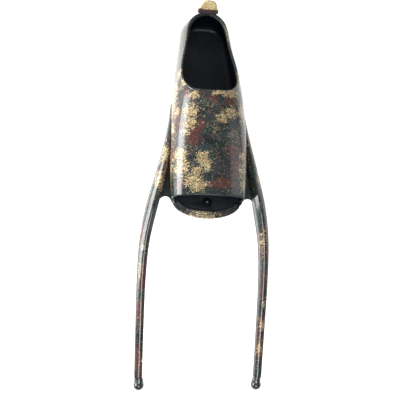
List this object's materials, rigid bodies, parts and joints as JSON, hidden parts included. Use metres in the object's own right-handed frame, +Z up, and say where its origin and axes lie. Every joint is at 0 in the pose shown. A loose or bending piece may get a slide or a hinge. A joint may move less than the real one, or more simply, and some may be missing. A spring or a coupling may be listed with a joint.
{
  "type": "blade-less swim fin foot pocket",
  "caption": "Full-foot swim fin pocket with a heel tab, an open toe and two long grooved rubber rails that grip a blade; no blade is fitted.",
  "frame": {"origin": "centre of the bounding box in X and Y, on the ground plane under the heel and the rail tips", "axes": "+Y towards the heel, -Y along the rails to their tips, +Z up, X across the fin"},
  "size_m": [0.1812, 0.5408, 0.1091],
  "materials": {
    "camo_rubber": "glossy moulded rubber, camouflage in teal-black, maroon and cream",
    "pull_tab_rubber": "glossy moulded rubber, cream with brown specks",
    "black_rubber": "satin moulded rubber",
    "stiff_sole": "satin thermoplastic",
    "footbed_foam": "matte textured foam",
    "steel": "blackened stainless steel"
  },
  "bodies": {
    "pocket": {"upper_shell": "camo_rubber", "opening_rim": "black_rubber", "toe_lip": "black_rubber", "sole_plate": "stiff_sole", "footbed": "footbed_foam", "toe_bumper": "camo_rubber", "heel_grip_pad": "black_rubber", "forefoot_grip_pad": "black_rubber", "arch_ribs": "stiff_sole", "blade_seat": "stiff_sole", "screw_bush": "steel", "blade_nut": "steel", "left_rail_root": "camo_rubber", "right_rail_root": "camo_rubber", "left_web": "black_rubber", "right_web": "black_rubber"},
    "heel": {"heel_counter": "camo_rubber", "heel_rim": "black_rubber"},
    "pull_tab": {"heel_pull_tab": "pull_tab_rubber"},
    "left_rail": {"left_rail": "camo_rubber", "left_rail_tip": "camo_rubber"},
    "right_rail": {"right_rail": "camo_rubber", "right_rail_tip": "camo_rubber"}
  },
  "joints": [
    {"name": "heel_fold", "type": "hinge", "parent": "pocket", "child": "heel", "pos_m": [0, 0.24507, 0.01627], "axis": [-1, 0, 0], "range_deg": [0, 20], "stiffness_Nm_per_rad": 2},
    {"name": "tab_flex", "type": "hinge", "parent": "heel", "child": "pull_tab", "pos_m": [0, 0.26027, 0.05586], "axis": [-1, 0, 0], "range_deg": [-10, 35], "stiffness_Nm_per_rad": 0.1},
    {"name": "left_rail_flex", "type": "hinge", "parent": "pocket", "child": "left_rail", "pos_m": [0, -0.02724, 0.05992], "axis": [-1, 0, 0], "range_deg": [-20, 25], "stiffness_Nm_per_rad": 15},
    {"name": "right_rail_flex", "type": "hinge", "parent": "pocket", "child": "right_rail", "pos_m": [0, -0.02724, 0.05992], "axis": [-1, 0, 0], "range_deg": [-20, 25], "stiffness_Nm_per_rad": 15}
  ]
}
